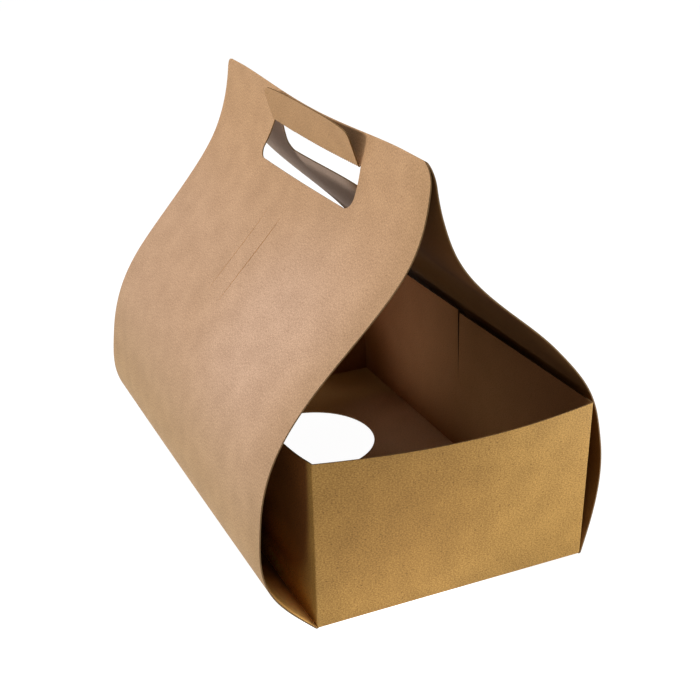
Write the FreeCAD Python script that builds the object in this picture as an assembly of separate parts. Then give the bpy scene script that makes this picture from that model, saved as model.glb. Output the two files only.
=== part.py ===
"""Two-cup carrier folded from one sheet of kraft board.

The floor lies on Z = 0 with its middle at the origin, and its long side runs along Y.
A wrap rises from the floor's two long folds, bulges out, sweeps in and meets in a ridge
fold over the long axis, which is the handle. A low tray of end panels and side walls
stands on the floor inside the wrap. All sizes are millimetres.
"""

import FreeCAD, Part
import math
import os

from FreeCAD import Vector

# Board
card = 0.6                  # thickness of the board
fold_radius = 1.2           # outside radius of every creased fold

# Tray
tray_length = 228.0         # outside of one end panel's foot to the other's, along Y
tray_width = 130.0          # from one bottom fold of the wrap to the other, along X
tray_height = 78.0          # top edge of the end panels and side walls
wall_inset = 1.0            # from a bottom fold of the wrap in to the side wall's outer face
end_lean = 3.5              # how far the top corners of an end panel lean out
end_bow = 6.5               # how much further its top edge bows out at its middle
notch_width = 1.8           # notch in the middle of each side wall, at the top edge
notch_tip = 0.2             # and at its lower end
notch_depth = 39.0

# Cup holes in the floor
cup_hole_diameter = 68.0
cup_spacing = 84.8          # from centre to centre, along Y

# Wrap: how far each panel stands out at a few heights, before the lean.
# Each height is a rise above the one before it, so they keep their order.
ridge_lean = 10.0           # how far the ridge leans towards -X
lean_power = 0.25           # the lean comes on fast near the floor
hip_out = 11.5              # outside the bottom fold
hip_rise = 21.0             # above the floor
belly_out = 15.4            # outside the bottom fold
belly_rise = 25.0
shoulder_out = 7.0          # outside the bottom fold
shoulder_rise = 36.0
waist_half_gap = 47.0       # from the leaning middle plane
waist_rise = 32.0
gather_half_gap = 23.5
gather_rise = 23.0
throat_half_gap = 9.0
throat_rise = 19.0
neck_half_gap = 2.9
neck_rise = 18.0
ridge_rise = 17.0
splay_left = 48.0           # angle out of the vertical at the bottom fold, degrees
splay_right = 14.0
ridge_corner_radius = 6.0   # rounded ends of the ridge

# Hand hole and its folded-back flaps
hand_hole_length = 104.0    # along Y, at the lower edge
hand_hole_slant = 6.0       # the far end draws in by this much at the hinge
hand_hole_height = 19.0     # measured upright
hand_hole_drop = 14.5       # from the ridge down to the flap's hinge
hand_hole_corner = 6.0      # rounded lower corners
flap_fold_radius = 0.5      # middle of the board round the hinge
flap_kerf = 0.4             # the flap is this much shorter at each end than its hole
flap_tongue = 1.0           # how far the flap's root runs up inside the panel's board
flap_opening_left = 26.0    # angle between the folded-back flap and its panel, degrees
flap_opening_right = 125.0

# Pairs of slits in the wrap panels
slit_width = 0.4
slit_drop = 17.5            # from the hand hole's lower edge down to the slits
slit_height = 30.0          # measured upright
slit_places = (0.0, 15.6)   # along Y

NODE = "carrier"
LEFT = -1
RIGHT = 1
OFFSET_SAMPLES = 36         # points that carry the inner face of a wrap panel
JOIN_TOLERANCE = 0.001      # curved and flat faces of the board count as touching within this
REACH = 2.0 * tray_width    # long enough for any cutter to pass through the part

half_length = tray_length / 2.0
half_wall = tray_width / 2.0 - wall_inset
hip_height = hip_rise
belly_height = hip_height + belly_rise
shoulder_height = belly_height + shoulder_rise
waist_height = shoulder_height + waist_rise
gather_height = waist_height + gather_rise
throat_height = gather_height + throat_rise
neck_height = throat_height + neck_rise
ridge_height = neck_height + ridge_rise
splay = {LEFT: math.radians(splay_left), RIGHT: math.radians(splay_right)}
flap_opening = {LEFT: math.radians(flap_opening_left), RIGHT: math.radians(flap_opening_right)}
hinge_height = ridge_height - hand_hole_drop
hole_low = hinge_height - hand_hole_height
slit_high = hole_low - slit_drop
slit_low = slit_high - slit_height


def in_section(x, z):
    """Point of the wrap's section, which lies in the plane of the -Y end."""
    return Vector(x, -half_length, z)


def lean(z):
    """Shift of the wrap's middle plane at a height."""
    return -ridge_lean * (z / ridge_height) ** lean_power


def panel_direction(side):
    """Direction in which a wrap panel leaves its bottom fold."""
    return Vector(side * math.sin(splay[side]), 0, math.cos(splay[side]))


def fold_tangent_length(side):
    """Distance from the sharp corner of a bottom fold to where its arc begins."""
    turn = math.pi / 2.0 - splay[side]
    return fold_radius * math.tan(turn / 2.0)


def smooth_curve(points):
    """Smooth curve through a list of points."""
    curve = Part.BSplineCurve()
    curve.interpolate(Points=points)
    return curve


def outer_panel_curve(side):
    """Outer face of one wrap panel: a smooth curve from its bottom fold to the ridge."""
    corner = in_section(side * tray_width / 2.0, 0)
    stations = (
        (tray_width / 2.0 + hip_out, hip_height),
        (tray_width / 2.0 + belly_out, belly_height),
        (tray_width / 2.0 + shoulder_out, shoulder_height),
        (waist_half_gap, waist_height),
        (gather_half_gap, gather_height),
        (throat_half_gap, throat_height),
        (neck_half_gap, neck_height),
    )
    points = [corner + panel_direction(side) * fold_tangent_length(side)]
    points += [in_section(side * half_gap + lean(z), z) for half_gap, z in stations]
    points.append(in_section(side * fold_radius - ridge_lean, ridge_height - fold_radius))
    return smooth_curve(points)


def panel_curve(side, depth):
    """Curve at a depth below the outer face of a wrap panel, meeting the fold arcs at both ends."""
    outer = outer_panel_curve(side)
    if depth == 0:
        return outer
    first, last = outer.FirstParameter, outer.LastParameter
    directions = [outer.tangent(first + (last - first) * index / OFFSET_SAMPLES)[0]
                  for index in range(OFFSET_SAMPLES + 1)]
    directions[0] = panel_direction(side)
    directions[-1] = Vector(0, 0, 1)
    points = []
    for index, up in enumerate(directions):
        inward = Vector(-side * up.z, 0, side * up.x)
        points.append(outer.value(first + (last - first) * index / OFFSET_SAMPLES) + inward * depth)
    return smooth_curve(points)


def fold_arc(side, radius):
    """Arc of a bottom fold, from the floor round to the wrap panel."""
    turn = math.pi / 2.0 - splay[side]
    centre = in_section(side * (tray_width / 2.0 - fold_tangent_length(side)), fold_radius)
    ends = [centre + Vector(side * math.sin(a), 0, -math.cos(a)) * radius for a in (0, turn / 2.0, turn)]
    return Part.Arc(*ends)


def ridge_arc(radius):
    """Half circle over the ridge, from the right panel to the left."""
    centre = in_section(-ridge_lean, ridge_height - fold_radius)
    return Part.Arc(
        centre + Vector(radius, 0, 0),
        centre + Vector(0, 0, radius),
        centre - Vector(radius, 0, 0),
    )


def wrap_wire(depth):
    """Closed outline of the wrap's section, at a depth below its outer face."""
    radius = fold_radius - depth
    right = panel_curve(RIGHT, depth)
    left = panel_curve(LEFT, depth)
    left_fold = fold_arc(LEFT, radius)
    right_fold = fold_arc(RIGHT, radius)
    floor = Part.LineSegment(
        left_fold.value(left_fold.FirstParameter),
        right_fold.value(right_fold.FirstParameter),
    )
    pieces = (floor, right_fold, right, ridge_arc(radius), left, left_fold)
    edges = Part.sortEdges([piece.toShape() for piece in pieces])[0]
    return Part.Wire(edges)


def box(low, high):
    """Box between two opposite corners."""
    size = high - low
    return Part.makeBox(size.x, size.y, size.z, low)


def wrap():
    """Floor, both wrap panels and the ridge as one closed band along Y."""
    section = Part.Face(wrap_wire(0)).cut(Part.Face(wrap_wire(card)))
    band = section.extrude(Vector(0, tray_length, 0))
    for end in (-1, 1):
        band = band.cut(ridge_corner(end))
        band = band.cut(floor_end(end))
    return band


def ridge_corner(end):
    """What is cut away to round one end of the ridge."""
    radius = ridge_corner_radius
    centre = Vector(-REACH / 2.0, end * (half_length - radius), ridge_height - radius)
    outside = Vector(REACH / 2.0, end * (half_length + radius), ridge_height + radius)
    low = Vector(-REACH / 2.0, min(centre.y, outside.y), centre.z)
    high = Vector(REACH / 2.0, max(centre.y, outside.y), outside.z)
    return box(low, high).cut(Part.makeCylinder(radius, REACH, centre, Vector(1, 0, 0)))


def floor_end(end):
    """Strip of floor that gives way to an end panel's fold."""
    inner = end * (half_length - fold_radius)
    outer = end * (half_length + fold_radius)
    half_fold = half_wall - fold_radius
    return box(
        Vector(-half_fold, min(inner, outer), -card),
        Vector(half_fold, max(inner, outer), card * 1.5),
    )


def end_fold(end):
    """Quarter-round fold from the floor up into an end panel."""
    half_fold = half_wall - fold_radius
    centre = Vector(-half_fold, end * (half_length - fold_radius), fold_radius)
    ring = Part.makeCylinder(fold_radius, 2.0 * half_fold, centre, Vector(1, 0, 0))
    ring = ring.cut(Part.makeCylinder(fold_radius - card, 2.0 * half_fold, centre, Vector(1, 0, 0)))
    far = centre + Vector(2.0 * half_fold, end * fold_radius, -fold_radius)
    low = Vector(centre.x, min(centre.y, far.y), far.z)
    high = Vector(far.x, max(centre.y, far.y), centre.z)
    return ring.common(box(low, high))


def tray_outline(z, out, bow, depth):
    """Outline of the tray at one height, with both ends moved out and bowed by the same amounts."""
    x = half_wall - depth
    y = half_length + out - depth
    radius = fold_radius - depth
    flat_x = half_wall - fold_radius
    flat_y = half_length + out - fold_radius
    diagonal = radius * math.sqrt(0.5)
    edges = []
    for end in (-1, 1):
        start = Vector(end * flat_x, end * y, z)
        stop = Vector(-end * flat_x, end * y, z)
        middle = Vector(0, end * (y + bow), z)
        edges.append(Part.Arc(start, middle, stop) if bow > 0 else Part.LineSegment(start, stop))
        corner = Vector(-end * (flat_x + diagonal), end * (flat_y + diagonal), z)
        side_start = Vector(-end * x, end * flat_y, z)
        edges.append(Part.Arc(stop, corner, side_start))
        side_stop = Vector(-end * x, -end * flat_y, z)
        edges.append(Part.LineSegment(side_start, side_stop))
        next_corner = Vector(-end * (flat_x + diagonal), -end * (flat_y + diagonal), z)
        edges.append(Part.Arc(side_stop, next_corner, Vector(-end * flat_x, -end * y, z)))
    return Part.Wire([edge.toShape() for edge in edges])


def tray():
    """End panels and side walls: a thin band whose ends bow out towards the top."""
    solids = []
    for depth in (0, card):
        foot = tray_outline(fold_radius, 0, 0, depth)
        rim = tray_outline(tray_height, end_lean, end_bow, depth)
        solids.append(Part.makeLoft([foot, rim], True, True))
    band = solids[0].cut(solids[1])
    return band.cut(wall_notch())


def wall_notch():
    """Tapering notch down the middle of both side walls."""
    top = tray_height
    corners = (
        (-notch_width / 2.0, top + card),
        (notch_width / 2.0, top + card),
        (notch_tip / 2.0, top - notch_depth),
        (-notch_tip / 2.0, top - notch_depth),
    )
    points = [Vector(-REACH / 2.0, y, z) for y, z in corners]
    face = Part.Face(Part.makePolygon(points + points[:1]))
    return face.extrude(Vector(REACH, 0, 0))


def hand_hole():
    """Opening through both wrap panels, straight at the hinge and rounded below."""
    half = hand_hole_length / 2.0
    radius = hand_hole_corner
    low = hole_low
    slope = radius * (1.0 - math.sqrt(0.5))

    def point(y, z):
        return Vector(-REACH / 2.0, y, z)

    edges = (
        Part.LineSegment(point(half - hand_hole_slant, hinge_height), point(-half, hinge_height)),
        Part.LineSegment(point(-half, hinge_height), point(-half, low + radius)),
        Part.Arc(point(-half, low + radius), point(-half + slope, low + slope), point(-half + radius, low)),
        Part.LineSegment(point(-half + radius, low), point(half - radius, low)),
        Part.Arc(point(half - radius, low), point(half - slope, low + slope), point(half, low + radius)),
        Part.LineSegment(point(half, low + radius), point(half - hand_hole_slant, hinge_height)),
    )
    outline = Part.Wire([edge.toShape() for edge in edges])
    return Part.Face(outline).extrude(Vector(REACH, 0, 0))


def at_height(curve, z):
    """Parameter at which an upward curve passes a height, found by halving."""
    low, high = curve.FirstParameter, curve.LastParameter
    for _ in range(50):
        middle = (low + high) / 2.0
        if curve.value(middle).z < z:
            low = middle
        else:
            high = middle
    return low


def flap(side):
    """Flap folded back from the hand hole: a tight turn at the hinge, then a flat leaf."""
    curve = panel_curve(side, card / 2.0)
    parameter = at_height(curve, hinge_height)
    up = curve.tangent(parameter)[0]
    out = Vector(side * up.z, 0, -side * up.x)
    half_flap = hand_hole_length / 2.0 - flap_kerf
    hinge = curve.value(parameter)
    hinge.y = -half_flap
    turn = math.pi - flap_opening[side]

    def around(angle, radius):
        return hinge + out * flap_fold_radius - (out * math.cos(angle) + up * math.sin(angle)) * radius

    inner = flap_fold_radius - card / 2.0
    outer = flap_fold_radius + card / 2.0
    arc_length = flap_fold_radius * turn
    leaf = out * math.sin(flap_opening[side]) + up * math.cos(flap_opening[side])
    lower = curve.value(at_height(curve, hole_low))
    hole_along_panel = Vector(lower.x - hinge.x, 0, lower.z - hinge.z).Length
    leaf_length = hole_along_panel - arc_length
    tongue = up * flap_tongue
    tongue_inner = around(0, inner + card / 4.0)
    tongue_outer = around(0, outer - card / 4.0)
    leaf_reach = leaf * leaf_length
    edges = (
        Part.LineSegment(around(0, inner), tongue_inner),
        Part.LineSegment(tongue_inner, tongue_inner + tongue),
        Part.LineSegment(tongue_inner + tongue, tongue_outer + tongue),
        Part.LineSegment(tongue_outer + tongue, tongue_outer),
        Part.LineSegment(tongue_outer, around(0, outer)),
        Part.Arc(around(0, outer), around(turn / 2.0, outer), around(turn, outer)),
        Part.LineSegment(around(turn, outer), around(turn, outer) + leaf_reach),
        Part.LineSegment(around(turn, outer) + leaf_reach, around(turn, inner) + leaf_reach),
        Part.LineSegment(around(turn, inner) + leaf_reach, around(turn, inner)),
        Part.Arc(around(turn, inner), around(turn / 2.0, inner), around(0, inner)),
    )
    outline = Part.Wire([edge.toShape() for edge in edges])
    body = Part.Face(outline).extrude(Vector(0, 2.0 * half_flap, 0))
    tip = around(turn, flap_fold_radius) + leaf_reach
    for end in (-1, 1):
        body = body.cut(flap_corner(tip, leaf, end * half_flap, end))
    return body.cut(flap_slant(hinge, tip, leaf, half_flap))


def flap_corner(tip, leaf, y, end):
    """What is cut away to round one free corner of a flap."""
    radius = hand_hole_corner
    across = Vector(leaf.z, 0, -leaf.x)
    centre = Vector(tip.x, y - end * radius, tip.z) - leaf * radius
    along = Vector(0, end, 0)
    reach = radius * 1.5
    back = across * (-reach)
    corners = [centre, centre + along * reach, centre + along * reach + leaf * reach, centre + leaf * reach]
    points = [corner + back for corner in corners]
    block = Part.Face(Part.makePolygon(points + points[:1])).extrude(across * (2.0 * reach))
    return block.cut(Part.makeCylinder(radius, 2.0 * reach, centre + back, across))


def flap_slant(hinge, tip, leaf, y):
    """What is cut away to draw in the far end of a flap towards its hinge."""
    across = Vector(leaf.z, 0, -leaf.x)
    reach = hand_hole_corner * 1.5
    root = Vector(hinge.x, y - hand_hole_slant, hinge.z)
    shoulder = Vector(tip.x, y, tip.z) - leaf * hand_hole_corner
    lead = root - (shoulder - root) * 0.5
    outside = Vector(0, reach, 0)
    back = across * (-reach)
    points = [corner + back for corner in (lead, shoulder, shoulder + outside, lead + outside)]
    return Part.Face(Part.makePolygon(points + points[:1])).extrude(across * (2.0 * reach))


def panel_slits():
    """Thin slits that run up both wrap panels."""
    half_width = slit_width / 2.0
    cutters = [
        box(Vector(-REACH / 2.0, y - half_width, slit_low), Vector(REACH / 2.0, y + half_width, slit_high))
        for y in slit_places
    ]
    return Part.makeCompound(cutters)


def cup_holes():
    """Round holes in the floor, one under each cup."""
    cutters = [
        Part.makeCylinder(cup_hole_diameter / 2.0, 3.0 * card, Vector(0, side * cup_spacing / 2.0, -card))
        for side in (-1, 1)
    ]
    return Part.makeCompound(cutters)


def carrier():
    """The whole folded sheet."""
    sheet = wrap().cut(hand_hole()).cut(panel_slits()).cut(cup_holes())
    pieces = [tray(), end_fold(-1), end_fold(1), flap(LEFT), flap(RIGHT)]
    return sheet.multiFuse(pieces, JOIN_TOLERANCE)


def main():
    """Build the sheet and write it."""
    os.makedirs("parts", exist_ok=True)
    shape = carrier()
    if len(shape.Solids) == 1:
        shape = shape.Solids[0]
    shape.exportStep(os.path.join("parts", NODE + ".step"))
    print(NODE, "solids", len(shape.Solids), "valid", shape.isValid(), "volume", round(shape.Volume, 1))


main()
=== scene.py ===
"""Two-cup carrier folded from one sheet of kraft board, dressed for a studio picture.

Each part of the folded sheet is a flat outline, triangulated in its own plane and then bent
into place by a formula. The board's thickness is added along the surface's normals, so every
cut edge is real geometry. All sizes are metres.
"""

import logging
import math
from dataclasses import dataclass, field
from enum import Enum
from typing import Callable, Sequence

import bmesh
import bpy
import numpy as np
from mathutils import Matrix, Vector
from mathutils.geometry import delaunay_2d_cdt


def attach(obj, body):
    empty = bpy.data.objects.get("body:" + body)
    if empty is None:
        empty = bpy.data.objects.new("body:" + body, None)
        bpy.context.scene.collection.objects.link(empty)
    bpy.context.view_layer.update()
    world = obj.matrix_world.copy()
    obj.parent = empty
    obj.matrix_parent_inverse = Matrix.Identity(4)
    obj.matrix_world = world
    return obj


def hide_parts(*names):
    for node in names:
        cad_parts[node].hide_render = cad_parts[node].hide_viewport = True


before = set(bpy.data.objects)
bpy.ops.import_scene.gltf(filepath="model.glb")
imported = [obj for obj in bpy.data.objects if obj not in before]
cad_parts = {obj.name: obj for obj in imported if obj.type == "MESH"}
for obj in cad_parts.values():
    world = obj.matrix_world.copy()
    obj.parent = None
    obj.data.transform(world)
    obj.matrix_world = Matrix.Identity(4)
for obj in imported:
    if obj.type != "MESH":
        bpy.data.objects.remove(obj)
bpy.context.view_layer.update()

LOG = logging.getLogger("carrier")
MM = 0.001
NODE = "carrier"
BODY = "root"
LAYOUT = "flat"

Surface = Callable[[np.ndarray], np.ndarray]
Pair = tuple[float, float]
Triple = tuple[float, float, float]
Outline = Sequence[Pair]
Socket = bpy.types.NodeSocket
Tone = Triple | Socket
Piece = bpy.types.Object
Material = bpy.types.Material


class Side(Enum):
    """Side of the carrier across its length, with its sign along X."""

    LEFT = -1
    RIGHT = 1


class Face(Enum):
    """Faces of the board, with their material index on every piece."""

    OUTSIDE = 0
    INSIDE = 1
    EDGE = 2


@dataclass(frozen=True)
class Board:
    """The sheet that everything is folded from, and the footprint that it is folded to."""

    length: float = 228.0 * MM
    width: float = 130.0 * MM
    thickness: float = 0.6 * MM
    fold_radius: float = 0.6 * MM
    tray_inset: float = 0.5 * MM


@dataclass(frozen=True)
class Speckle:
    """One layer of noise in the board, and the raw values that become 0 and 1."""

    scale: float
    detail: float
    stretch: Triple
    low: float
    high: float


@dataclass(frozen=True)
class PaintedLightPatch:
    """A soft-edged patch of painted light and shade: the tone is multiplied by a tint that brightens or
    darkens it where light or shadow falls. The measure says how much each axis counts.
    """

    centre: Triple
    inner: float
    outer: float
    tint: Triple
    measure: Triple = (1.0, 1.0, 1.0)


class Recipe:
    """Nodes of one material, wired as they are added."""

    def __init__(self, name: str) -> None:
        """Start a material with one shader.

        Args:
            name: Name of the material.
        """
        self.material = bpy.data.materials.new(name)
        self.material.use_nodes = True
        tree = self.material.node_tree
        self.nodes, self.links = tree.nodes, tree.links
        self.nodes.clear()
        self.shader = self.add("BsdfPrincipled", {})
        self.add("OutputMaterial", {"Surface": self.shader.outputs["BSDF"]})

    def add(self, kind: str, inputs: dict[str | int, object], **settings: str) -> bpy.types.Node:
        """Add a node.

        Args:
            kind: The node's type, without its common beginning.
            inputs: Its inputs by name or number, each with a value or with the socket that feeds it.
            settings: Values of the node's own properties.

        Returns:
            The node.
        """
        node = self.nodes.new("ShaderNode" + kind)
        for name, value in settings.items():
            setattr(node, name, value)
        self.feed(node, inputs)
        return node

    def feed(self, node: bpy.types.Node, inputs: dict[str | int, object]) -> None:
        """Set a node's inputs.

        Args:
            node: The node.
            inputs: Its inputs by name or number, each with a value or with the socket that feeds it.
        """
        for key, value in inputs.items():
            if isinstance(value, Socket):
                self.links.new(value, node.inputs[key])
            else:
                node.inputs[key].default_value = value

    def noise(self, layer: Speckle) -> Socket:
        """Noise in the piece's own flat layout, so that it bends with the board.

        Args:
            layer: What the noise is like.

        Returns:
            The noise's strength, from 0 to 1.
        """
        layout = self.add("UVMap", {}, uv_map=LAYOUT)
        mapping = self.add("Mapping", {"Vector": layout.outputs["UV"], "Scale": layer.stretch})
        texture = self.add("TexNoise", {
            "Vector": mapping.outputs["Vector"], "Scale": layer.scale, "Detail": layer.detail})
        spread = self.add("MapRange", {
            "Value": texture.outputs[0], "From Min": layer.low, "From Max": layer.high})
        return spread.outputs["Result"]

    def scaled(self, strength: Socket, amount: float) -> Socket:
        """Multiply a strength by a fixed amount."""
        return self.add("Math", {0: strength, 1: amount}, operation="MULTIPLY").outputs[0]

    def between(self, first: Socket, second: Socket, share: float) -> Socket:
        """Blend two strengths, with a fixed share of the second one."""
        return self.add("Mix", {"Factor": share, 2: first, 3: second}).outputs[0]

    def mixed(self, strength: Socket, first: Tone, second: Tone, blend: str = "MIX") -> Socket:
        """Mix two tones.

        Args:
            strength: How far the second one acts.
            first: One tone, or the socket that gives it.
            second: The other tone, or the socket that gives it.
            blend: How the second one acts on the first.

        Returns:
            The mixed tone.
        """
        first, second = ((*tone, 1.0) if isinstance(tone, tuple) else tone for tone in (first, second))
        inputs = {"Factor": strength, 6: first, 7: second}
        return self.add("Mix", inputs, data_type="RGBA", blend_type=blend).outputs[2]

    def fade(self, centre: Triple, reach: Pair, levels: Pair, measure: Triple = (1.0, 1.0, 1.0)) -> Socket:
        """Level that goes smoothly from one value to another with the distance from a point.

        Args:
            centre: The point.
            reach: Distances at which the change starts and stops.
            levels: The level up to the first distance, and past the second one.
            measure: How much each axis counts in the distance.

        Returns:
            The level.
        """
        place = self.add("TexCoord", {})
        counted = self.add("VectorMath", {0: place.outputs["Object"], 1: measure}, operation="MULTIPLY")
        middle = tuple(c * m for c, m in zip(centre, measure))
        gap = self.add("VectorMath", {0: counted.outputs["Vector"], 1: middle}, operation="DISTANCE")
        ends = dict(zip(("From Min", "From Max", "To Min", "To Max"), (*reach, *levels)))
        inputs = {"Value": gap.outputs["Value"], **ends}
        return self.add("MapRange", inputs, interpolation_type="SMOOTHSTEP").outputs["Result"]


@dataclass(frozen=True)
class KraftFinish:
    """Uncoated kraft board: two close tones in fine grain and slow drift, fibres and a few flecks, with
    patches of painted light and shade.
    """

    name: str
    tone: Triple
    cloud: Triple
    fleck: Triple
    roughness: float = 0.72
    specular: float = 0.25
    grain: Speckle = Speckle(1650.0, 4.0, (1.0, 0.8, 1.0), 0.40, 0.60)
    drift: Speckle = Speckle(70.0, 3.0, (1.0, 1.0, 1.0), 0.28, 0.72)
    drift_share: float = 0.34
    fibres: Speckle = Speckle(2300.0, 2.0, (1.0, 0.35, 1.0), 0.40, 0.72)
    fibre_amount: float = 0.35
    flecks: Speckle = Speckle(1265.0, 1.0, (1.0, 0.5, 1.0), 0.66, 0.74)
    fleck_amount: float = 0.45
    bump: float = 0.08
    bump_height: float = 0.1 * MM
    # Patches of painted light and shade, laid over the board's own colour.
    painted_light_patches: tuple[PaintedLightPatch, ...] = ()

    def material(self) -> Material:
        """Build the node material.

        The two tones are mixed by grain and drift. Fibres and flecks darken them, and each patch of
        painted light and shade multiplies the result by its tint. The fibres also stand up a little.

        Returns:
            The material.
        """
        recipe = Recipe(self.name)
        fibres = recipe.noise(self.fibres)
        flecks = recipe.noise(self.flecks)
        body = recipe.between(recipe.noise(self.grain), recipe.noise(self.drift), self.drift_share)
        colour = recipe.mixed(body, self.tone, self.cloud)
        colour = recipe.mixed(recipe.scaled(fibres, self.fibre_amount), colour, self.fleck)
        colour = recipe.mixed(recipe.scaled(flecks, self.fleck_amount), colour, self.fleck)
        # Painted light and shade: each patch multiplies the colour by its tint.
        for painted_patch in self.painted_light_patches:
            near = recipe.fade(painted_patch.centre, (painted_patch.inner, painted_patch.outer), (1.0, 0.0), painted_patch.measure)
            colour = recipe.mixed(near, colour, painted_patch.tint, blend="MULTIPLY")
        bump = recipe.add("Bump", {"Strength": self.bump, "Distance": self.bump_height, "Height": fibres})
        recipe.feed(recipe.shader, {
            "Base Color": colour, "Roughness": self.roughness, "Specular IOR Level": self.specular,
            "Normal": bump.outputs["Normal"],
        })
        return recipe.material


@dataclass(frozen=True)
class PlainFinish:
    """Matt surface of the studio floor, which glows like a light table and most round one spot."""

    name: str
    tone: Triple
    roughness: float = 0.9
    glow: float = 0.97
    spot: Triple = (-0.03, -0.165, 0.0)
    spot_reach: float = 0.09
    spot_glow: float = 2.6

    def material(self) -> Material:
        """Build the material.

        Returns:
            A material with one tone, whose glow falls off smoothly round the spot.
        """
        recipe = Recipe(self.name)
        glow = recipe.fade(self.spot, (0.0, self.spot_reach), (self.spot_glow, self.glow))
        recipe.feed(recipe.shader, {
            "Base Color": (*self.tone, 1.0), "Roughness": self.roughness,
            "Emission Color": (1.0, 1.0, 1.0, 1.0), "Emission Strength": glow,
        })
        return recipe.material


def natural_spline(points: np.ndarray, samples: int) -> np.ndarray:
    """Smooth curve through points: a cubic in each span with no bend at the two ends.

    The parameter is the running chord length, and the second derivatives solve the usual
    three-term system that makes the slope and the bend agree at every inner point.

    Args:
        points: The points to pass through, one row each.
        samples: How many points to return, evenly spaced in the parameter.

    Returns:
        Points along the curve.
    """
    knots = np.r_[0.0, np.cumsum(np.linalg.norm(np.diff(points, axis=0), axis=1))]
    step = np.diff(knots)[:, None]
    slope = np.diff(points, axis=0) / step
    count = len(points)
    system = np.eye(count)
    inner = np.arange(1, count - 1)
    system[inner, inner - 1] = step[:-1, 0]
    system[inner, inner] = 2.0 * (step[:-1, 0] + step[1:, 0])
    system[inner, inner + 1] = step[1:, 0]
    right = np.zeros_like(points)
    right[1:-1] = 6.0 * np.diff(slope, axis=0)
    bend = np.linalg.solve(system, right)
    at = np.linspace(0.0, knots[-1], samples)
    span = np.clip(np.searchsorted(knots, at, side="right") - 1, 0, count - 2)
    past = (at - knots[span])[:, None]
    width = step[span]
    bend_in, bend_out = bend[span], bend[span + 1]
    linear = slope[span] - width * (2 * bend_in + bend_out) / 6
    cubic = (bend_out - bend_in) / (6 * width)
    return points[span] + past * (linear + past * (bend_in / 2 + past * cubic))


def arc_points(centre: Pair, radius: float, start: float, stop: float, count: int) -> np.ndarray:
    """Points round an arc.

    Args:
        centre: Centre of the arc.
        radius: Radius of the arc.
        start: First angle in radians.
        stop: Last angle in radians.
        count: How many points to return.

    Returns:
        Points at the centre plus the radius times the cosine and sine of even angles.
    """
    angle = np.linspace(start, stop, count)
    return np.c_[centre[0] + radius * np.cos(angle), centre[1] + radius * np.sin(angle)]


def lies_inside(points: np.ndarray, outline: np.ndarray) -> np.ndarray:
    """Tell which points lie inside a closed outline, by counting crossings of a ray.

    Args:
        points: Points to test.
        outline: Corners of the outline.

    Returns:
        One truth value per point.
    """
    hit = np.zeros(len(points), bool)
    for (x0, y0), (x1, y1) in zip(outline, np.roll(outline, -1, axis=0)):
        if y0 == y1:
            continue
        spans = (y0 > points[:, 1]) != (y1 > points[:, 1])
        hit ^= spans & (points[:, 0] < (x1 - x0) * (points[:, 1] - y0) / (y1 - y0) + x0)
    return hit


def near_outline(points: np.ndarray, outline: np.ndarray, reach: float) -> np.ndarray:
    """Tell which points lie within a distance of a closed outline.

    Args:
        points: Points to test.
        outline: Corners of the outline.
        reach: The distance.

    Returns:
        One truth value per point.
    """
    close = np.zeros(len(points), bool)
    for start, stop in zip(outline, np.roll(outline, -1, axis=0)):
        run = stop - start
        squared = max(run @ run, np.finfo(float).tiny)
        along = np.clip(((points - start) @ run) / squared, 0.0, 1.0)
        close |= np.linalg.norm(points - start - along[:, None] * run, axis=1) < reach
    return close


def divided(outline: Outline, pitch: Pair) -> np.ndarray:
    """Outline with its long sides divided, so that bent edges stay smooth.

    Args:
        outline: Corners of the outline.
        pitch: Longest step along each of the two directions.

    Returns:
        The divided outline.
    """
    corners = np.asarray(outline, float)
    pieces = []
    for start, stop in zip(corners, np.roll(corners, -1, axis=0)):
        count = max(1, int(np.ceil(np.max(np.abs(stop - start) / np.asarray(pitch)))))
        pieces.append(start + (stop - start) * (np.arange(count) / count)[:, None])
    return np.vstack(pieces)


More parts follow.
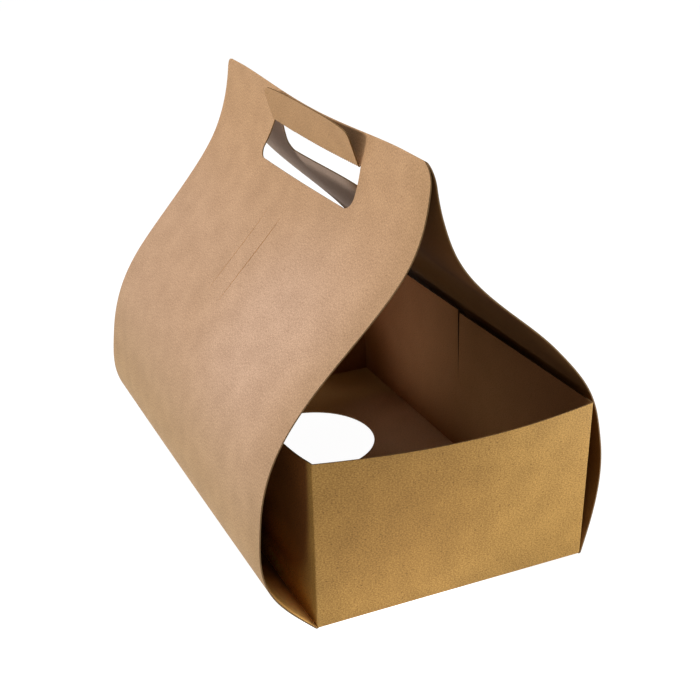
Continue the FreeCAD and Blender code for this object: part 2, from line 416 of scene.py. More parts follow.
@dataclass
class Sheet:
    """A flat piece of board with holes, and the formula that bends it into place."""

    name: str
    outline: Outline
    holes: Sequence[Outline]
    surface: Surface
    pitch: Pair
    board: Board = Board()
    outward: float = 1.0
    seams: tuple[float, ...] = ()
    creases: Sequence[Outline] = ()
    crisp: float = math.radians(9.0)
    outline_gap: float = 0.45
    crease_gap: float = 0.3
    seam_gap: float = 0.005 * MM

    def flat(self) -> tuple[np.ndarray, np.ndarray]:
        """Triangulate the flat piece, with the outline, the holes and the creases as edges.

        Returns:
            Flat points, and triangles as rows of three point numbers, turned the same way.
        """
        rings = [divided(ring, self.pitch) for ring in (self.outline, *self.holes)]
        lines = [divided(crease, self.pitch)[:-1] for crease in self.creases]
        edges = []
        first = 0
        for closed, runs in ((True, rings), (False, lines)):
            for run in runs:
                numbers = list(range(first, first + len(run)))
                edges += list(zip(numbers, numbers[1:]))
                if closed:
                    edges.append((numbers[-1], numbers[0]))
                first += len(run)
        points = np.vstack([*rings, *lines, self.filling(rings)])
        scale = 1.0 / MM
        join = 1e-6
        result = delaunay_2d_cdt([Vector(p) for p in (points * scale).tolist()], edges, [], 0, join)
        flat = np.array([tuple(v) for v in result[0]]) / scale
        triangles = np.array([tuple(f) for f in result[2]], int)
        middle = flat[triangles].mean(axis=1)
        good = lies_inside(middle, rings[0])
        for ring in rings[1:]:
            good &= ~lies_inside(middle, ring)
        triangles = triangles[good]
        start, second, third = (flat[triangles[:, k]] for k in range(3))
        (ux, uy), (vx, vy) = (second - start).T, (third - start).T
        turned = ux * vy - uy * vx < 0
        triangles[turned] = triangles[turned][:, ::-1]
        return flat, triangles

    def filling(self, rings: Sequence[np.ndarray]) -> np.ndarray:
        """Even grid of points over the piece, clear of its outline, holes and creases.

        Args:
            rings: The divided outline, then the divided holes.

        Returns:
            The points.
        """
        low, high = rings[0].min(axis=0), rings[0].max(axis=0)
        counts = np.ceil((high - low) / np.asarray(self.pitch)).astype(int)
        axes = [np.linspace(low[k], high[k], counts[k] + 1)[1:-1] for k in (0, 1)]
        grid = np.stack(np.meshgrid(*axes, indexing="ij"), axis=-1).reshape(-1, 2)
        keep = lies_inside(grid, rings[0])
        for ring in rings:
            keep &= ~near_outline(grid, ring, min(self.pitch) * self.outline_gap)
        for ring in rings[1:]:
            keep &= ~lies_inside(grid, ring)
        for crease in self.creases:
            keep &= ~near_outline(grid, np.asarray(crease, float), min(self.pitch) * self.crease_gap)
        return grid[keep]

    def normals(self, flat: np.ndarray) -> np.ndarray:
        """Outward normals: the cross product of the surface's two slopes, made unit length.

        Args:
            flat: Flat points.

        Returns:
            One normal per point.
        """
        step = 0.02 * MM
        across = self.surface(flat + (step, 0.0)) - self.surface(flat - (step, 0.0))
        along = self.surface(flat + (0.0, step)) - self.surface(flat - (0.0, step))
        normal = np.cross(across, along) * self.outward
        return normal / np.linalg.norm(normal, axis=1, keepdims=True)

    def build(self, materials: Sequence[Material]) -> Piece:
        """Make the closed mesh: outer face, inner face and the cut edges between them.

        Args:
            materials: One material per Face, in order.

        Returns:
            The finished piece.
        """
        flat, triangles = self.flat()
        outer = self.surface(flat)
        inner = outer - self.normals(flat) * self.board.thickness
        count = len(flat)
        if self.outward < 0:
            triangles = triangles[:, ::-1]
        rim = self.rim(triangles, flat)
        walls = np.c_[rim[:, 1], rim[:, 0], rim[:, 0] + count, rim[:, 1] + count]
        corners = np.r_[triangles.ravel(), (triangles[:, ::-1] + count).ravel(), walls.ravel()]
        sizes = np.r_[np.full(2 * len(triangles), 3), np.full(len(walls), 4)]
        kinds = np.r_[
            np.full(len(triangles), Face.OUTSIDE.value),
            np.full(len(triangles), Face.INSIDE.value),
            np.full(len(walls), Face.EDGE.value),
        ]
        mesh = bpy.data.meshes.new(self.name)
        mesh.vertices.add(2 * count)
        mesh.vertices.foreach_set("co", np.vstack([outer, inner]).ravel())
        mesh.loops.add(len(corners))
        mesh.loops.foreach_set("vertex_index", corners)
        mesh.polygons.add(len(sizes))
        mesh.polygons.foreach_set("loop_start", np.r_[0, np.cumsum(sizes)[:-1]])
        mesh.polygons.foreach_set("loop_total", sizes)
        mesh.polygons.foreach_set("material_index", kinds)
        mesh.polygons.foreach_set("use_smooth", kinds != Face.EDGE.value)
        layout = mesh.uv_layers.new(name=LAYOUT)
        layout.data.foreach_set("uv", np.vstack([flat, flat])[corners].ravel())
        mesh.update(calc_edges=True)
        for material in materials:
            mesh.materials.append(material)
        piece = bpy.data.objects.new(self.name, mesh)
        bpy.context.collection.objects.link(piece)
        self.finish_mesh(piece)
        return piece

    def rim(self, triangles: np.ndarray, flat: np.ndarray) -> np.ndarray:
        """Directed edges that belong to one triangle only, apart from those on a seam.

        Args:
            triangles: The triangles.
            flat: Flat points.

        Returns:
            Edges as rows of two point numbers.
        """
        edges = np.vstack([triangles[:, [0, 1]], triangles[:, [1, 2]], triangles[:, [2, 0]]])
        key = np.sort(edges, axis=1)
        _, place, times = np.unique(key, axis=0, return_inverse=True, return_counts=True)
        edges = edges[times[place.ravel()] == 1]
        for seam in self.seams:
            on_seam = np.all(np.abs(flat[edges][:, :, 1] - seam) < self.seam_gap, axis=1)
            edges = edges[~on_seam]
        return edges

    def finish_mesh(self, piece: Piece) -> None:
        """Merge the seam's double points and keep the cut edges and the folds crisp.

        Args:
            piece: The piece to finish.
        """
        work = bmesh.new()
        work.from_mesh(piece.data)
        if self.seams:
            bmesh.ops.remove_doubles(work, verts=work.verts, dist=self.seam_gap)
        for edge in work.edges:
            kinds = {face.material_index for face in edge.link_faces}
            rim = Face.EDGE.value in kinds and len(kinds) > 1
            edge.smooth = not (rim or edge.calc_face_angle(0.0) > self.crisp)
        work.to_mesh(piece.data)
        work.free()


@dataclass(frozen=True)
class Swell:
    """A soft local bulge of one panel along X, by squared cosines of the height and of the length."""

    side: Side
    shift: float
    height: float
    reach: float
    place: float = 0.0
    length: float = 400.0 * MM

    def share(self, y: np.ndarray, z: np.ndarray) -> np.ndarray:
        """Size of the bulge.

        Args:
            y: Places along the carrier.
            z: Heights.

        Returns:
            How far each point moves along X.
        """
        quarter = math.pi / 2
        upright = np.cos(quarter * np.clip((z - self.height) / self.reach, -1.0, 1.0)) ** 2
        level = np.cos(quarter * np.clip((y - self.place) / self.length, -1.0, 1.0)) ** 2
        return self.shift * upright * level


@dataclass
class Wrap:
    """Floor, two wrap panels and the ridge as one closed band.

    A station is half the section's width at one height, and that height, in millimetres.
    """

    ridge_height: float = 191.0 * MM
    ridge_lean: float = 10.0 * MM
    lean_power: float = 0.25
    stations: tuple[Pair, ...] = (
        (76.5, 21.0), (80.4, 46.0), (72.0, 82.0), (47.0, 114.0), (23.5, 137.0), (9.0, 156.0), (2.9, 174.0),
    )
    splay: dict[Side, float] = field(default_factory=lambda: {
        Side.LEFT: math.radians(48.0), Side.RIGHT: math.radians(14.0)})
    far_shift: float = 3.3 * MM
    ridge_sag: float = 3.3 * MM
    ridge_dip: Pair = (5.0 * MM, 92.0 * MM)
    ridge_lift: float = 0.8 * MM
    ridge_tilt: float = 1.0 * MM
    ridge_corner: Pair = (9.0 * MM, 4.5 * MM)
    swells: tuple[Swell, ...] = (
        Swell(Side.RIGHT, 3.2 * MM, 153.0 * MM, 34.0 * MM, place=-12.0 * MM, length=75.0 * MM),
        Swell(Side.RIGHT, -2.0 * MM, 136.0 * MM, 32.0 * MM, place=-Board.length / 2, length=Board.length),
        Swell(Side.RIGHT, 1.2 * MM, 80.0 * MM, 24.0 * MM, place=-Board.length / 2, length=Board.length),
        Swell(Side.LEFT, -1.7 * MM, 28.0 * MM, 28.0 * MM),
        Swell(Side.LEFT, -2.8 * MM, 147.0 * MM, 44.0 * MM, place=Board.length / 2, length=Board.length),
    )
    hole_top: float = 177.0 * MM
    hole_height: float = 19.6 * MM
    hole_near: float = -53.0 * MM
    hole_far: dict[Side, float] = field(default_factory=lambda: {
        Side.LEFT: 49.8 * MM, Side.RIGHT: 54.5 * MM})
    hole_slant: float = 5.8 * MM
    hole_corners: Pair = (6.5 * MM, 4.5 * MM)
    slit_low: float = 107.0 * MM
    slit_high: float = 142.0 * MM
    slits: tuple[Pair, ...] = ((0.0, 0.42 * MM), (15.6 * MM, 0.30 * MM))
    cup_radius: float = 34.0 * MM
    cup_offset: float = 42.4 * MM
    cup_across: float = -2.0 * MM
    cup_points: int = 96
    board: Board = Board()

    def __post_init__(self) -> None:
        """Work out the section once."""
        self.section, self.marks = self._section()
        self.reach = np.r_[0.0, np.cumsum(np.linalg.norm(np.diff(self.section, axis=0), axis=1))]

    def lean(self, z: np.ndarray | float) -> np.ndarray | float:
        """Shift of the middle plane: the ridge's lean times a power of the height."""
        return -self.ridge_lean * (z / self.ridge_height) ** self.lean_power

    def tangent_length(self, side: Side) -> float:
        """Distance from a bottom fold's sharp corner to its arc: the radius times tan of half the turn."""
        return self.board.fold_radius * math.tan((math.pi / 2 - self.splay[side]) / 2)

    def panel(self, side: Side) -> np.ndarray:
        """Outer face of one panel in the section, from its bottom fold up to the ridge.

        Args:
            side: Which panel.

        Returns:
            Points with x and z, along a smooth curve through the stations.
        """
        sign = side.value
        start = self.tangent_length(side)
        foot = sign * (self.board.width / 2 + start * math.sin(self.splay[side]))
        points = [(foot, start * math.cos(self.splay[side]))]
        points += [(sign * half * MM + self.lean(z * MM), z * MM) for half, z in self.stations]
        radius = self.board.fold_radius
        points.append((sign * radius - self.ridge_lean, self.ridge_height - radius))
        return natural_spline(np.array(points), 400)

    def fold(self, side: Side) -> np.ndarray:
        """Arc of one bottom fold, from the floor to the panel.

        Args:
            side: Which fold.

        Returns:
            Points with x and z.
        """
        centre = (side.value * (self.board.width / 2 - self.tangent_length(side)), self.board.fold_radius)
        turn = math.pi / 2 - self.splay[side]
        stop = -math.pi / 2 + side.value * turn
        return arc_points(centre, self.board.fold_radius, -math.pi / 2, stop, 10)

    def _section(self) -> tuple[np.ndarray, dict[str, int]]:
        """Whole section, from the ridge down the left, across the floor and up the right.

        Returns:
            Points with x and z, and where the floor starts and stops among them.
        """
        radius = self.board.fold_radius
        top = (-self.ridge_lean, self.ridge_height - radius)
        over_left = arc_points(top, radius, math.pi / 2, math.pi, 8)
        over_right = arc_points(top, radius, 0.0, math.pi / 2, 8)
        left = self.panel(Side.LEFT)[::-1]
        left_fold = self.fold(Side.LEFT)[::-1]
        right_fold = self.fold(Side.RIGHT)
        floor = np.linspace(left_fold[-1], right_fold[0], 60)
        right = self.panel(Side.RIGHT)
        runs = [over_left, left[1:], left_fold[1:], floor[1:], right_fold[1:], right[1:], over_right[1:]]
        ends = np.cumsum([len(run) for run in runs])
        return np.vstack(runs), {"floor": ends[2] - 1, "floor_end": ends[3] - 1}

    def at_height(self, side: Side, z: float) -> float:
        """Distance along the section at which a panel passes a height.

        Args:
            side: Which panel.
            z: The height.

        Returns:
            Distance along the section from the ridge.
        """
        if side is Side.LEFT:
            part = slice(0, self.marks["floor"])
            return float(np.interp(-z, -self.section[part, 1], self.reach[part]))
        part = slice(self.marks["floor_end"], None)
        return float(np.interp(z, self.section[part, 1], self.reach[part]))

    def surface(self, flat: np.ndarray) -> np.ndarray:
        """Bend the flat band: the section carried along Y, with the sheet's own irregularity.

        The far end stands a little to the right at mid-height, by a share that follows the
        square of a half wave of the height. The ridge tilts a little and dips near its middle,
        by a cosine to the power one and a half, and both fade down the panels with the sixth
        power of the height. Each panel has its own soft swells.

        Args:
            flat: Flat points, with y and the distance along the section.

        Returns:
            Points in space.
        """
        y, along = flat[:, 0], flat[:, 1]
        x = np.interp(along, self.reach, self.section[:, 0])
        z = np.interp(along, self.reach, self.section[:, 1])
        part = np.clip(z / self.ridge_height, 0.0, 1.0)
        place = 2.0 * y / self.board.length
        shift = self.far_shift * (1.0 + place) / 2.0 * np.sin(math.pi * part) ** 2
        left = along < self.reach[self.marks["floor"]]
        for swell in self.swells:
            own = left if swell.side is Side.LEFT else ~left
            shift = shift + np.where(own, swell.share(y, z), 0.0)
        middle, half = self.ridge_dip
        dip = np.cos(math.pi / 2 * np.clip((y - middle) / half, -1.0, 1.0))
        dip = np.maximum(dip, 0.0) ** 1.5
        drop = (self.ridge_lift + self.ridge_tilt * place - self.ridge_sag * dip) * part ** 6
        return np.c_[x + shift, y, z + drop]

    def outline(self) -> Outline:
        """Edge of the flat band, with rounded ridge ends and room for the end panels' folds.

        Returns:
            Corners of the outline.
        """
        half, total, (near, far) = self.board.length / 2, self.reach[-1], self.ridge_corner
        middle = (self.reach[self.marks["floor"]] + self.reach[self.marks["floor_end"]]) / 2
        reach = self.board.width / 2 - self.board.tray_inset - self.board.fold_radius
        shift = -(self.section[self.marks["floor"], 0] + self.section[self.marks["floor_end"], 0]) / 2
        low, high = middle + shift - reach, middle + shift + reach
        inner = half - self.board.fold_radius
        quarter = math.pi / 2
        corners = [
            arc_points((half - far, far), far, -quarter, 0.0, 10),
            np.array([(half, low), (inner, low), (inner, high), (half, high)]),
            arc_points((half - far, total - far), far, 0.0, quarter, 10),
            arc_points((-half + near, total - near), near, quarter, 2 * quarter, 14),
            np.array([(-half, high), (-inner, high), (-inner, low), (-half, low)]),
            arc_points((-half + near, near), near, 2 * quarter, 3 * quarter, 14),
        ]
        return np.vstack(corners)

    def hand_hole(self, side: Side) -> Outline:
        """Outline of the hand hole in one flat panel: straight at the hinge, rounded below.

        Args:
            side: Which panel.

        Returns:
            Corners of the outline.
        """
        top = self.at_height(side, self.hole_top)
        low = self.at_height(side, self.hole_top - self.hole_height)
        down = 1.0 if side is Side.LEFT else -1.0
        near, far = self.hole_near, self.hole_far[side]
        first, second = self.hole_corners
        near_turn = arc_points((near + first, -first), first, math.pi, math.pi / 2, 12)
        far_turn = arc_points((far - second, -second), second, math.pi / 2, 0.0, 12)
        turns = np.vstack([near_turn, far_turn]) * (1.0, down) + (0.0, low)
        return np.vstack([[(near, top)], turns, [(far - self.hole_slant, top)]])

    def slit(self, side: Side, y: float, width: float) -> Outline:
        """Outline of one slit, whose half width follows the square root of a half wave along it.

        Args:
            side: Which panel.
            y: Where it lies along the carrier.
            width: How far it gapes at its middle.

        Returns:
            Corners of the outline.
        """
        first, last = self.at_height(side, self.slit_low), self.at_height(side, self.slit_high)
        along = np.linspace(0.0, 1.0, 13)
        gape = width / 2 * np.sin(math.pi * np.clip(along, 0.02, 0.98)) ** 0.5
        run = first + (last - first) * along
        return np.vstack([np.c_[y - gape, run], np.c_[y + gape, run][::-1]])

    def cup_hole(self, sign: int) -> Outline:
        """Outline of one round cup hole in the floor.

        Args:
            sign: Which hole, front or back.

        Returns:
            Points round the circle.
        """
        start, stop = self.marks["floor"], self.marks["floor_end"]
        across = float(np.interp(self.cup_across, self.section[start:stop, 0], self.reach[start:stop]))
        centre = (sign * self.cup_offset, across)
        return arc_points(centre, self.cup_radius, 0.0, 2 * math.pi, self.cup_points + 1)[:-1]

    def crease_places(self) -> list[float]:
        """Lines along which the band turns: each fold's start, steps within it and its end.

        Returns:
            Distances along the section.
        """
        quarter = self.board.fold_radius * math.pi / 2
        total = float(self.reach[-1])
        places = [quarter * part for part in (1 / 3, 2 / 3, 1.0)]
        places += [total - place for place in places]
        for side, mark in ((Side.LEFT, "floor"), (Side.RIGHT, "floor_end")):
            turn = self.board.fold_radius * (math.pi / 2 - self.splay[side])
            flat_end = float(self.reach[self.marks[mark]])
            places += [flat_end + side.value * turn * part for part in (0.0, 0.5, 1.0)]
        return places

    def build(self, materials: Sequence[Material]) -> Piece:
        """Build the band.

        Args:
            materials: One material per Face.

        Returns:
            The piece.
        """
        holes = [self.hand_hole(side) for side in Side]
        holes += [self.slit(side, y, width) for side in Side for y, width in self.slits]
        holes += [self.cup_hole(sign) for sign in (-1, 1)]
        half = self.board.length / 2 + MM
        sheet = Sheet(
            name="wrap", outline=self.outline(), holes=holes, surface=self.surface,
            pitch=(3.0 * MM, 2.0 * MM), seams=(0.0, float(self.reach[-1])),
            creases=[[(-half, at), (half, at)] for at in self.crease_places()],
        )
        return sheet.build(materials)


@dataclass
class Tray:
    """End panels and side walls: a band round the floor whose ends bow out."""

    height: float = 78.0 * MM
    end_bow: float = 7.4 * MM
    wall_bulge: dict[Side, float] = field(default_factory=lambda: {Side.LEFT: 4.3 * MM, Side.RIGHT: 0.0})
    corner_lean: Pair = (1.2 * MM, 4.6 * MM)
    notch_width: float = 1.8 * MM
    notch_depth: float = 39.0 * MM
    wall_step: float = 1.1 * MM
    board: Board = Board()

    def __post_init__(self) -> None:
        """Work out the lengths of the band's nine runs."""
        radius = self.board.fold_radius
        self.half_x = self.board.width / 2 - self.board.tray_inset
        self.half_y = self.board.length / 2
        self.end_run = 2 * (self.half_x - radius)
        self.wall_run = 2 * (self.half_y - radius)
        self.corner_run = radius * math.pi / 2
        self.foot_run = radius * math.pi / 2
        self.runs = np.r_[0.0, np.cumsum([
            self.end_run / 2, self.corner_run, self.wall_run, self.corner_run,
            self.end_run, self.corner_run, self.wall_run, self.corner_run, self.end_run / 2,
        ])]

    def plan(self, around: np.ndarray) -> tuple[np.ndarray, np.ndarray, np.ndarray]:
        """Course of the band round the floor, as seen from above.

        The band starts at the middle of the back panel and runs to -X, so that it goes
        forward along the left wall, across the front and back along the right wall. At each
        corner it turns by a quarter circle.

        Args:
            around: Distances round the band.

        Returns:
            The x and y of each point, and its share of an end panel's bow with its sign along Y,
            which is one minus the square of the place across the panel.
        """
        radius = self.board.fold_radius
        runs = self.runs
        x, y, bow = np.zeros((3, len(around)))
        lies = [(around >= runs[k]) & (around <= runs[k + 1]) for k in range(9)]
        travel = [around - runs[k] for k in range(9)]
        half_end = self.end_run / 2
        ends = ((0, -travel[0], 1.0), (4, travel[4] - half_end, -1.0), (8, half_end - travel[8], 1.0))
        for k, place, sign in ends:
            x = np.where(lies[k], place, x)
            y = np.where(lies[k], sign * self.half_y, y)
            bow = np.where(lies[k], sign * (1.0 - (2.0 * place / self.end_run) ** 2), bow)
        for k, sign in ((2, -1.0), (6, 1.0)):
            x = np.where(lies[k], sign * self.half_x, x)
            y = np.where(lies[k], sign * (travel[k] - self.wall_run / 2), y)
        for k, sx, sy in ((1, -1, 1), (3, -1, -1), (5, 1, -1), (7, 1, 1)):
            turn = (np.sin(travel[k] / radius), np.cos(travel[k] / radius))
            dx, dy = turn if k in (1, 5) else turn[::-1]
            x = np.where(lies[k], sx * (self.half_x - radius + radius * dx), x)
            y = np.where(lies[k], sy * (self.half_y - radius + radius * dy), y)
        return x, y, bow

    def surface(self, flat: np.ndarray) -> np.ndarray:
        """Stand the flat band up round the floor.

        Above the folds an end panel leans out, and bows out further by the bow, times the height's
        share, times its share of the bow. The lean fades along the side walls by the fourth power.
        A side wall's top bulges out, by one minus the eighth power of the place along it. Below,
        the foot turns in by a quarter circle, with a margin past its edge where normals are taken.

        Args:
            flat: Flat points, with the height above the foot and the distance round the band.

        Returns:
            Points in space.
        """
        up = flat[:, 0]
        radius = self.board.fold_radius
        x, y, bow = self.plan(flat[:, 1])
        place = np.clip(np.abs(y) / self.half_y, 0.0, 1.0)
        share = np.clip(up / (self.height - radius), 0.0, 1.0)
        left_lean, right_lean = self.corner_lean
        tip = left_lean + (right_lean - left_lean) * (x / self.half_x + 1.0) / 2.0
        lean = place ** 4 * np.sign(y) * tip + self.end_bow * bow
        out = np.abs(lean) * share
        slant = np.sqrt(np.maximum(np.maximum(up, 0.0) ** 2 - out ** 2, 0.0))
        z = np.where(up > 0, radius + slant, radius + up)
        y = y + np.sign(lean) * out
        bulge = np.where(x < 0.0, self.wall_bulge[Side.LEFT], self.wall_bulge[Side.RIGHT])
        at_wall = np.clip((np.abs(x) - self.half_x + radius) / radius, 0.0, 1.0)
        spread = 1.0 - np.clip(np.abs(y) / self.half_y, 0.0, 1.0) ** 8
        x = x + np.sign(x) * bulge * at_wall * spread * share
        margin = 0.1
        below = np.clip(-up / radius, 0.0, math.pi / 2 + margin)
        foot = up < 0
        y = np.where(foot, y - np.sign(y) * radius * (1.0 - np.cos(below)), y)
        z = np.where(foot, radius - radius * np.sin(below), z)
        return np.c_[x, y, z]

    def outline(self) -> Outline:
        """Edge of the flat band: feet under the end panels and a notch in each side wall.

        Returns:
            Corners of the outline, with the height first and the distance round second.
        """
        runs, foot, step, half_notch = self.runs, -self.foot_run, self.wall_step, self.notch_width / 2
        top = self.height - self.board.fold_radius
        left, right = (runs[2] + runs[3]) / 2, (runs[6] + runs[7]) / 2
        tip = top - self.notch_depth
        return [
            (foot, runs[0]), (foot, runs[1]), (0.0, runs[1]),
            (0.0, runs[4]), (foot, runs[4]), (foot, runs[5]), (0.0, runs[5]),
            (0.0, runs[8]), (foot, runs[8]), (foot, runs[9]), (top, runs[9]),
            (top, right + half_notch), (tip, right), (top - step, right - half_notch),
            (top, runs[6]), (top, runs[3]),
            (top - step, left + half_notch), (tip, left), (top, left - half_notch), (top, runs[0]),
        ]

    def crease_lines(self) -> list[Outline]:
        """Upright lines in the four corner folds, and level lines in the two feet.

        Returns:
            Lines in the flat layout.
        """
        lines = []
        for k in (1, 3, 5, 7):
            turns = [self.runs[k] + self.corner_run * part for part in (0.0, 1 / 3, 2 / 3, 1.0)]
            lines += [[(0.0, turn), (self.height, turn)] for turn in turns]
        for k in (0, 4, 8):
            low, high = self.runs[k], self.runs[k + 1]
            lines += [[(-self.foot_run * part, low), (-self.foot_run * part, high)] for part in (0.0, 0.5)]
        return lines

    def build(self, materials: Sequence[Material]) -> Piece:
        """Build the band.

        Args:
            materials: One material per Face.

        Returns:
            The piece.
        """
        sheet = Sheet(
            name="tray", outline=self.outline(), holes=(), surface=self.surface,
            pitch=(2.6 * MM, 2.6 * MM), outward=-1.0, seams=(0.0, float(self.runs[-1])),
            creases=self.crease_lines(),
        )
        return sheet.build(materials)


@dataclass(frozen=True)
class Opening:
    """How far a flap stands off its panel, as angles at its far end, its middle and its near end."""

    far: float
    middle: float
    near: float


@dataclass
class Flap:
    """Flap folded back at the top of a hand hole: a tight turn, then a slightly twisted leaf."""

    side: Side
    wrap: Wrap
    opening: Opening
    fold_radius: float = 0.3 * MM
    kerf: float = 0.4 * MM
    draw_in: float = 1.5 * MM
    short: float = 2.2 * MM
    flare: float = 3.0 * MM
    near_corner: float = 3.2 * MM
    far_corner: float = 6.5 * MM
    board: Board = Board()

    def __post_init__(self) -> None:
        """Find the hinge and the leaf's length on the panel."""
        low = self.wrap.at_height(self.side, self.wrap.hole_top - self.wrap.hole_height)
        self.hinge = self.wrap.at_height(self.side, self.wrap.hole_top)
        self.reach = abs(low - self.hinge) - self.short

    def surface(self, flat: np.ndarray) -> np.ndarray:
        """Bend the flap: a turn about the hinge of a half circle less the opening, then straight.

        The opening goes from its middle value to the far one by the sixth power of the place from
        the near end, and to the near one by the fourth power of the place from the far end.

        Args:
            flat: Flat points, with y and the distance from the hinge.

        Returns:
            Points in space.
        """
        y, out = flat[:, 0], flat[:, 1]
        far, near = self.wrap.hole_far[self.side], self.wrap.hole_near
        place = np.clip((far - y) / (far - near), 0.0, 1.0)
        opening = self.opening.middle + (self.opening.near - self.opening.middle) * place ** 4
        opening = opening + (self.opening.far - self.opening.middle) * (1.0 - place) ** 6
        at = np.c_[y, np.full(len(y), self.hinge)]
        step = 0.2 * MM * self.side.value
        root = self.wrap.surface(at)
        up = self.wrap.surface(at + (0.0, step)) - root
        up[:, 1] = 0.0
        up /= np.linalg.norm(up, axis=1, keepdims=True)
        away = np.c_[self.side.value * up[:, 2], np.zeros(len(y)), -self.side.value * up[:, 0]]
        turn = math.pi - opening
        angle = np.clip(out / self.fold_radius, 0.0, turn)[:, None]
        straight = np.maximum(out - turn * self.fold_radius, 0.0)[:, None]
        centre = root + away * self.fold_radius
        ring = centre - (away * np.cos(angle) + up * np.sin(angle)) * self.fold_radius
        heading = away * np.sin(angle) - up * np.cos(angle)
        return ring + heading * straight

    def build(self, materials: Sequence[Material]) -> Piece:
        """Build the flap.

        Args:
            materials: One material per Face.

        Returns:
            The piece.
        """
        near, root = self.wrap.hole_near + self.kerf, self.wrap.hole_far[self.side] - self.wrap.hole_slant
        far = root - self.draw_in
        reach, first, second = self.reach, self.near_corner, self.far_corner
        outline = np.vstack([
            [(near, 0.0), (root - self.kerf, 0.0)],
            arc_points((far - second, reach - second), second, 0.0, math.pi / 2, 10),
            arc_points((near - self.flare + first, reach - first), first, math.pi / 2, math.pi, 10),
        ])
        sheet = Sheet(
            name=f"flap_{self.side.name.lower()}", outline=outline, holes=(), surface=self.surface,
            pitch=(2.0 * MM, 0.5 * MM), outward=-float(self.side.value),
        )
        return sheet.build(materials)


@dataclass(frozen=True)
class Lamp:
    """One square area light, which faces the point that it aims at."""

    name: str
    place: Triple
    size: float
    power: float
    tone: Triple
    aim: Triple = (0.0, 0.0, 0.09)

    def build(self) -> None:
        """Set the lamp up."""
        data = bpy.data.lights.new(self.name, "AREA")
        data.shape = "SQUARE"
        data.size = self.size
        data.energy = self.power
        data.color = self.tone
        lamp = bpy.data.objects.new(self.name, data)
        heading = Vector(self.aim) - Vector(self.place)
        turn = heading.to_track_quat("-Z", "Y").to_matrix().to_4x4()
        lamp.matrix_world = Matrix.Translation(self.place) @ turn
        bpy.context.collection.objects.link(lamp)


@dataclass
class Studio:
    """Pale floor, soft lights and the camera at the picture's own angle."""

    azimuth: float = math.radians(-23.656)
    elevation: float = math.radians(23.693)
    roll: float = math.radians(-1.593)
    focal_pixels: float = 1307.6
    picture_pixels: float = 700.0
    sensor: float = 36.0
    position: Triple = (-0.23064, -0.53513, 0.32485)
    sky: float = 0.12
    floor_half: float = 4.0
    floor_drop: float = 0.02 * MM
    floor_finish: PlainFinish = PlainFinish("studio_floor", (0.12, 0.12, 0.12))
    lamps: tuple[Lamp, ...] = (
        Lamp("key", (-1.2, 0.0, 0.5), 0.25, 7.75, (1.0, 0.96, 0.93)),
        Lamp("top", (0.05, 0.05, 1.2), 0.9, 10.5, (1.0, 0.97, 0.95)),
        Lamp("front", (0.20, -0.20, 0.03), 0.05, 0.235, (1.0, 0.97, 0.90), aim=(0.0, -0.12, 0.03)),
    )

    def camera(self) -> None:
        """Place the camera: right, up and back from azimuth and elevation, then rolled."""
        a, e, r = self.azimuth, self.elevation, self.roll
        back = Vector((math.sin(a) * math.cos(e), -math.cos(a) * math.cos(e), math.sin(e)))
        right = Vector((math.cos(a), math.sin(a), 0.0))
        up = back.cross(right)
        rolled_right = right * math.cos(r) + up * math.sin(r)
        rolled_up = up * math.cos(r) - right * math.sin(r)
        data = bpy.data.cameras.new("camera")
        data.sensor_width = self.sensor
        data.lens = self.focal_pixels / self.picture_pixels * self.sensor
        data.clip_start = 0.01
        data.clip_end = 20.0
        camera = bpy.data.objects.new("camera", data)
        turn = Matrix((rolled_right, rolled_up, back)).transposed()
        camera.matrix_world = Matrix.Translation(self.position) @ turn.to_4x4()
        bpy.context.collection.objects.link(camera)
        bpy.context.scene.camera = camera

    def floor(self) -> None:
        """Lay the pale floor, a hair under the carrier."""
        half = self.floor_half
        mesh = bpy.data.meshes.new("floor")
        corners = [(-half, -half, 0.0), (half, -half, 0.0), (half, half, 0.0), (-half, half, 0.0)]
        mesh.from_pydata(corners, [], [(0, 1, 2, 3)])
        mesh.materials.append(self.floor_finish.material())
        plane = bpy.data.objects.new("floor", mesh)
        plane.location.z = -self.floor_drop
        bpy.context.collection.objects.link(plane)

    def build(self) -> None:
        """Set the world, floor, lamps and camera."""
        world = bpy.data.worlds.new("studio")
        world.use_nodes = True
        sky = world.node_tree.nodes["Background"]
        sky.inputs["Color"].default_value = (1.0, 1.0, 1.0, 1.0)
        sky.inputs["Strength"].default_value = self.sky
        bpy.context.scene.world = world
        bpy.context.scene.view_settings.view_transform = "Standard"
        self.floor()
        for lamp in self.lamps:
            lamp.build()
        self.camera()


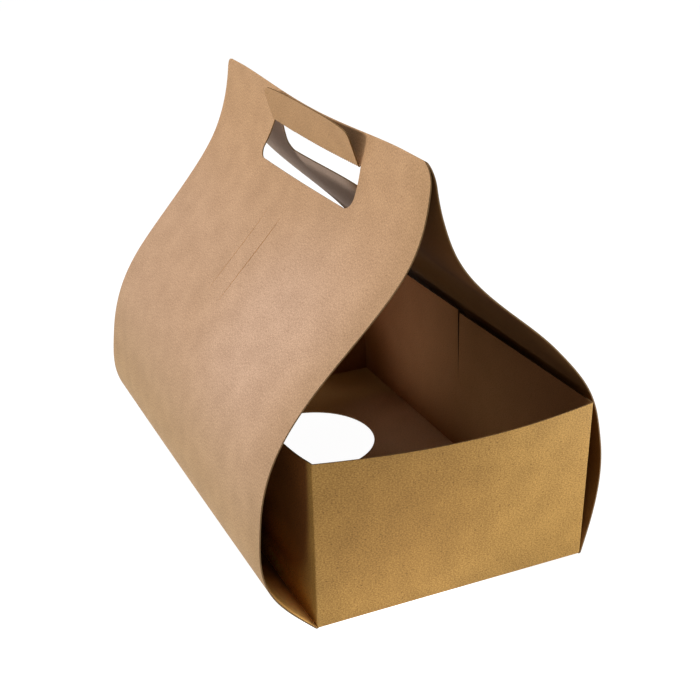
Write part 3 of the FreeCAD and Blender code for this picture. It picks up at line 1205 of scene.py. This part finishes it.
# A measure that counts the height alone.
UPRIGHT = (0.0, 0.0, 1.0)
OUTSIDE = KraftFinish(
    name="kraft_outside", tone=(0.385, 0.238, 0.142), cloud=(0.625, 0.407, 0.259),
    fleck=(0.30, 0.170, 0.09), fleck_amount=0.75,
    # The patches below are painted light and shade on the wrap's outside.
    painted_light_patches=(
        # Painted light: warmer, yellower tone towards the ridge.
        PaintedLightPatch((0.0, 0.0, 0.195), 0.010, 0.080, (1.0, 0.95, 0.80), UPRIGHT),
        # Painted shade: darker, yellower tone towards the bottom.
        PaintedLightPatch((0.0, 0.0, 0.015), 0.015, 0.080, (0.85, 0.84, 0.66), UPRIGHT),
        # Painted shade: slightly darker towards the near end.
        PaintedLightPatch((0.0, -0.116, 0.0), 0.002, 0.030, (0.90, 0.89, 0.84), (0.0, 1.0, 0.0)),
        # Painted sheen: lighter, bluer middle of the left panel.
        PaintedLightPatch((-0.06, -0.05, 0.115), 0.010, 0.070, (1.09, 1.13, 1.24)),
        # Painted shadow: the dark pocket behind the left flap's near end.
        PaintedLightPatch((-0.016, -0.0405, 0.184), 0.0075, 0.0165, (0.12, 0.085, 0.060), (3.0, 1.0, 1.0)),
    ))
# Inner faces of the wrap: the same board as the outside, given a dark brown tone as painted shade, with
# patches of painted light and shade.
INSIDE = KraftFinish(
    name="kraft_inside_painted_shade_and_light", tone=(0.16, 0.074, 0.020), cloud=(0.20, 0.094, 0.027),
    fleck=(0.11, 0.050, 0.014), roughness=0.8, specular=0.06,
    painted_light_patches=(
        # Painted light: brighter, cooler floor.
        PaintedLightPatch((0.0, 0.0, 0.0), 0.004, 0.015, (1.9, 2.1, 2.4), UPRIGHT),
        # Painted light: brighter, bluer right part of the floor.
        PaintedLightPatch((0.055, 0.028, 0.0), 0.020, 0.058, (2.0, 2.6, 5.0), (1.0, 1.0, 4.0)),
        # Painted shade: darker far right corner of the floor.
        PaintedLightPatch((0.050, 0.108, 0.0), 0.006, 0.030, (0.55, 0.45, 0.30), (1.0, 1.0, 4.0)),
        # Painted light: the pale grey band under the ridge seen through the hand hole.
        PaintedLightPatch((0.005, 0.060, 0.157), 0.055, 0.085, (3.2, 5.2, 14.5)),
        # Painted shade: darker inner face near the front, under the ridge.
        PaintedLightPatch((0.015, -0.100, 0.135), 0.020, 0.080, (0.62, 0.52, 0.42)),
        # Painted shade: darker slot at the front right corner.
        PaintedLightPatch((0.074, -0.114, 0.058), 0.012, 0.045, (0.55, 0.45, 0.25)),
        # Painted light: brighter low slot at the front left corner.
        PaintedLightPatch((-0.072, -0.108, 0.012), 0.008, 0.045, (4.0, 4.8, 5.0)),
    ))
TRAY_INSIDE = KraftFinish(
    name="kraft_tray_inside", tone=(0.36, 0.174, 0.060), cloud=(0.44, 0.220, 0.083),
    fleck=(0.24, 0.110, 0.035), roughness=0.8, specular=0.08,
    painted_light_patches=(
        # Painted light: lighter far half of the right side wall's inner face.
        PaintedLightPatch((0.064, 0.075, 0.065), 0.020, 0.095, (1.9, 1.9, 2.4)),
        # Painted shade: darker far right corner at the floor.
        PaintedLightPatch((0.060, 0.114, 0.010), 0.010, 0.048, (0.55, 0.46, 0.30)),
    ))
# Outer faces of the tray: the same face of the same board as the wrap's outside, tinted more golden as
# painted warm light, with patches of painted light and shade.
END_OUTSIDE = KraftFinish(
    name="kraft_end_painted_warm_light", tone=(0.308, 0.166, 0.037), cloud=(0.580, 0.334, 0.087),
    fleck=(0.17, 0.080, 0.017), fleck_amount=0.8,
    painted_light_patches=(
        # Painted shade: darker left middle of the front end panel.
        PaintedLightPatch((-0.034, -0.120, 0.046), 0.010, 0.078, (0.80, 0.75, 0.66)),
        # Painted shade: the left side wall, in the slot beside the wrap, much darker.
        PaintedLightPatch((-0.0700, 0.0, 0.0), 0.0045, 0.0053, (0.40, 0.25, 0.15), (1.0, 0.0, 0.0)),
        # Painted light: brighter foot of the left side wall near the front.
        PaintedLightPatch((-0.0665, -0.082, 0.010), 0.012, 0.034, (2.1, 2.1, 2.0), (6.0, 1.0, 1.0)),
        # Painted light: brighter left side wall further back in the slot.
        PaintedLightPatch((-0.0665, -0.045, 0.035), 0.020, 0.060, (2.1, 2.3, 2.4), (6.0, 1.0, 1.0)),
    ))
EDGE = KraftFinish(
    name="kraft_cut_edge", tone=(0.16, 0.088, 0.030), cloud=(0.20, 0.112, 0.040),
    fleck=(0.11, 0.06, 0.02), fleck_amount=0.2,
    # Painted light: brighter, more golden cut edges on the left panel near its slits.
    painted_light_patches=(PaintedLightPatch((-0.055, 0.008, 0.123), 0.030, 0.045, (4.4, 3.9, 1.6)),))
FLAP = KraftFinish(
    name="kraft_flap", tone=(0.335, 0.191, 0.085), cloud=(0.535, 0.322, 0.154),
    fleck=(0.24, 0.132, 0.05), fleck_amount=0.7)

FLAP_OPENINGS = {
    Side.LEFT: Opening(*np.radians((36.0, 22.4, 32.0))),
    Side.RIGHT: Opening(*np.radians((126.0, 123.0, 128.0))),
}


def ride(piece: Piece) -> Piece:
    """Carry a finished piece on the carrier's body.

    Args:
        piece: The piece.

    Returns:
        The same piece.
    """
    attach(piece, BODY)
    LOG.info("%s: %d faces", piece.name, len(piece.data.polygons))
    return piece


def main() -> None:
    """Build every part of the sheet, then the studio."""
    logging.basicConfig(level=logging.INFO)
    outside, inside, tray_inside, end, edge, flap = (
        finish.material() for finish in (OUTSIDE, INSIDE, TRAY_INSIDE, END_OUTSIDE, EDGE, FLAP))
    wrap = Wrap()
    pieces = [ride(wrap.build((outside, inside, edge))), ride(Tray().build((end, tray_inside, edge)))]
    for side in Side:
        pieces.append(ride(Flap(side, wrap, FLAP_OPENINGS[side]).build((outside, flap, edge))))
    for piece in pieces:
        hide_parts(NODE)
    Studio().build()


if __name__ == "__main__":
    main()
